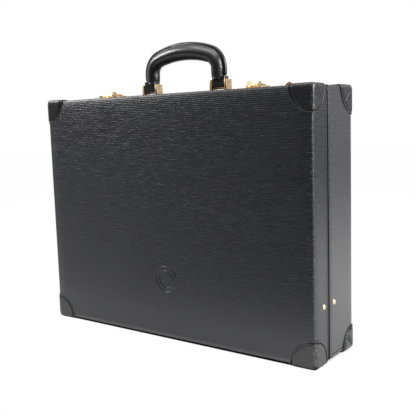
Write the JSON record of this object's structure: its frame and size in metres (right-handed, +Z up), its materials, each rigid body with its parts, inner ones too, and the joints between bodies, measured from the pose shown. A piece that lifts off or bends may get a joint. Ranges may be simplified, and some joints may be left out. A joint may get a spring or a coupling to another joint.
{
  "type": "attache case",
  "caption": "Hard-sided black leather attache case with stitched corner patches, padded leather handle, brass hasp locks, piano hinge and folding lid stays.",
  "frame": {"origin": "middle of the footprint, on the surface that the case stands on", "axes": "+Z up with the case standing on its hinge side, +X along its width, -Y towards the lid's front face"},
  "size_m": [0.4356, 0.1032, 0.3902],
  "materials": {
    "board": "bare poplar plywood",
    "case_leather": "black calf leather with a fine wavy embossed grain, satin",
    "patch_leather": "black grained leather, satin",
    "handle_leather": "black leather, polished by use",
    "pocket_leather": "smooth black leather, matt",
    "core": "bent rattan core, bare",
    "lining": "dark suede cloth",
    "brass": "polished, pale gold",
    "steel": "bright drawn wire"
  },
  "bodies": {
    "base": {"base_top_board": "board", "base_bottom_board": "board", "base_left_board": "board", "base_right_board": "board", "base_rear_panel": "board", "base_leather": "case_leather", "base_lining": "lining", "base_rim_binding": "patch_leather", "base_patch_top_left": "patch_leather", "base_patch_top_right": "patch_leather", "base_patch_bottom_left": "patch_leather", "base_patch_bottom_right": "patch_leather", "hinge_base_leaf": "brass", "hinge_pin": "steel", "handle_bracket_left": "brass", "handle_bracket_right": "brass", "handle_pins": "steel", "bracket_rivets": "brass", "lock_housing_left": "brass", "lock_housing_right": "brass", "button_springs": "steel", "strap_lugs": "brass", "base_stay_rivets": "brass"},
    "lid": {"lid_top_board": "board", "lid_bottom_board": "board", "lid_left_board": "board", "lid_right_board": "board", "lid_front_panel": "board", "lid_leather": "case_leather", "lid_lining": "lining", "lid_rim_binding": "patch_leather", "document_pocket": "pocket_leather", "lid_patch_top_left": "patch_leather", "lid_patch_top_right": "patch_leather", "lid_patch_bottom_left": "patch_leather", "lid_patch_bottom_right": "patch_leather", "hinge_lid_leaf": "brass", "lock_plate_left": "brass", "lock_plate_right": "brass", "hasp_pins": "steel", "hasp_springs": "steel", "lock_screws": "brass", "lid_stay_rivets": "brass"},
    "handle": {"handle_grip": "handle_leather", "handle_core": "core", "handle_tab_left": "handle_leather", "handle_tab_right": "handle_leather"},
    "left_hasp": {"hasp_left": "brass"},
    "right_hasp": {"hasp_right": "brass"},
    "left_button": {"lock_button_left": "brass"},
    "right_button": {"lock_button_right": "brass"},
    "left_base_stay": {"base_stay_left": "brass", "elbow_pin_left": "steel"},
    "right_base_stay": {"base_stay_right": "brass", "elbow_pin_right": "steel"},
    "left_lid_stay": {"lid_stay_left": "brass"},
    "right_lid_stay": {"lid_stay_right": "brass"}
  },
  "joints": [
    {"name": "lid_hinge", "type": "hinge", "parent": "base", "child": "lid", "pos_m": [0, -0.01375, 0.0018], "axis": [1, 0, 0], "range_deg": [0, 100]},
    {"name": "handle_pivot", "type": "hinge", "parent": "base", "child": "handle", "pos_m": [0, 0.0025, 0.3348], "axis": [1, 0, 0], "range_deg": [-86, 86]},
    {"name": "hasp_left_hinge", "type": "hinge", "parent": "lid", "child": "left_hasp", "pos_m": [-0.1205, -0.02125, 0.3262], "axis": [1, 0, 0], "range_deg": [0, 95]},
    {"name": "hasp_right_hinge", "type": "hinge", "parent": "lid", "child": "right_hasp", "pos_m": [0.1205, -0.02125, 0.3262], "axis": [1, 0, 0], "range_deg": [0, 95]},
    {"name": "button_left_slide", "type": "slide", "parent": "base", "child": "left_button", "axis": [0, 1, 0], "range_m": [0, 0.003], "stiffness_N_per_m": 250, "deforming": ["button_springs"]},
    {"name": "button_right_slide", "type": "slide", "parent": "base", "child": "right_button", "axis": [0, 1, 0], "range_m": [0, 0.003], "stiffness_N_per_m": 250, "deforming": ["button_springs"]},
    {"name": "base_stay_left_pivot", "type": "hinge", "parent": "base", "child": "left_base_stay", "pos_m": [-0.206, -0.00075, 0.07], "axis": [1, 0, 0], "range_deg": [0, 100]},
    {"name": "lid_stay_left_pivot", "type": "hinge", "parent": "lid", "child": "left_lid_stay", "pos_m": [-0.204, -0.02675, 0.07], "axis": [1, 0, 0], "range_deg": [-100, 0]},
    {"name": "base_stay_right_pivot", "type": "hinge", "parent": "base", "child": "right_base_stay", "pos_m": [0.206, -0.00075, 0.07], "axis": [1, 0, 0], "range_deg": [0, 100]},
    {"name": "lid_stay_right_pivot", "type": "hinge", "parent": "lid", "child": "right_lid_stay", "pos_m": [0.204, -0.02675, 0.07], "axis": [1, 0, 0], "range_deg": [-100, 0]}
  ],
  "couplings": [
    {"joint": "base_stay_left_pivot", "follows": "lid_hinge", "ratio": 1},
    {"joint": "lid_stay_left_pivot", "follows": "lid_hinge", "ratio": -1},
    {"joint": "base_stay_right_pivot", "follows": "lid_hinge", "ratio": 1},
    {"joint": "lid_stay_right_pivot", "follows": "lid_hinge", "ratio": -1}
  ]
}
